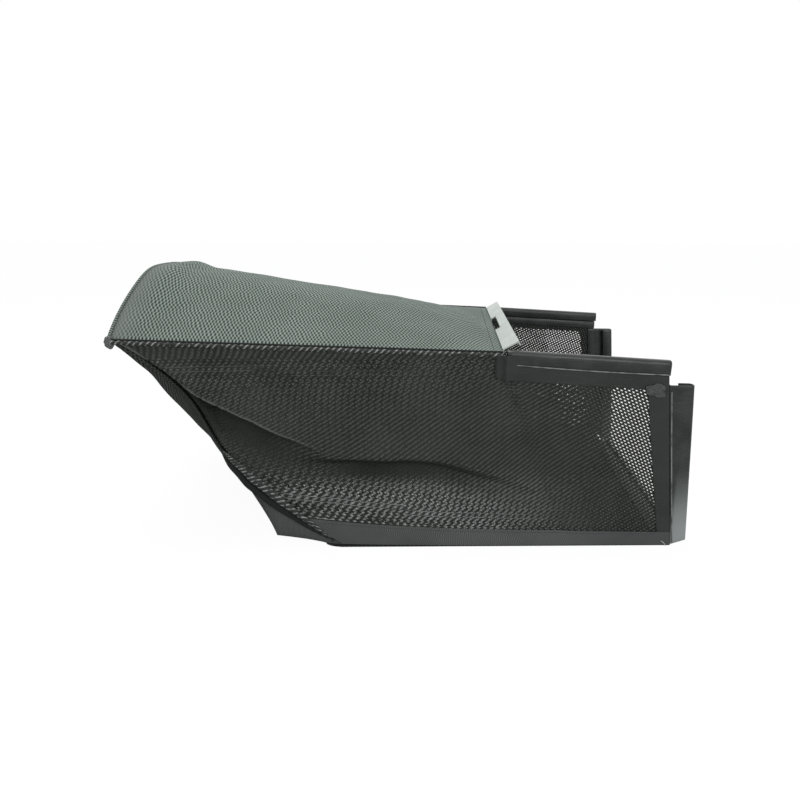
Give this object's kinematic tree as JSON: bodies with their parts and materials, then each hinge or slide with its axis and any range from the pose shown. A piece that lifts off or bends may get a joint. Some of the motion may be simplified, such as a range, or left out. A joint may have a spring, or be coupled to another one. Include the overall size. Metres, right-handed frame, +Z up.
{
  "type": "mower grass collection bag",
  "caption": "Slack fabric grass bag for a walk-behind mower, with open mesh sides, a crowned woven top and sewn plastic clips round its mouth.",
  "frame": {"origin": "middle of the length and width of the whole bag, on the floor that it stands on", "axes": "+X forwards to the open mouth, +Y to the bag's left, +Z up"},
  "size_m": [0.747, 0.4966, 0.3349],
  "materials": {
    "dense_weave": "closely woven grey-green polyester",
    "side_mesh": "open woven dark mesh that can be seen through",
    "binding": "smooth dark tape and rolled seams",
    "black_clip": "semi-gloss black extruded plastic",
    "pale_strip": "satin pale grey extruded plastic"
  },
  "bodies": {
    "root": {"top_panel": "dense_weave", "back_panel": "dense_weave", "floor_panel": "dense_weave", "left_side_panel": "side_mesh", "right_side_panel": "side_mesh", "left_top_seam": "binding", "right_top_seam": "binding", "left_back_seam": "binding", "right_back_seam": "binding", "rear_seam": "binding", "left_floor_band": "binding", "right_floor_band": "binding", "left_rail_tape": "binding", "right_rail_tape": "binding", "left_upright_tape": "binding", "right_upright_tape": "binding", "back_tape": "binding", "left_rail_tab": "binding", "right_rail_tab": "binding", "left_corner_patch": "binding", "right_corner_patch": "binding", "left_rail_clip": "black_clip", "right_rail_clip": "black_clip", "left_upright_clip": "black_clip", "right_upright_clip": "black_clip", "foot_clip": "black_clip", "top_strip": "pale_strip"}
  },
  "joints": []
}
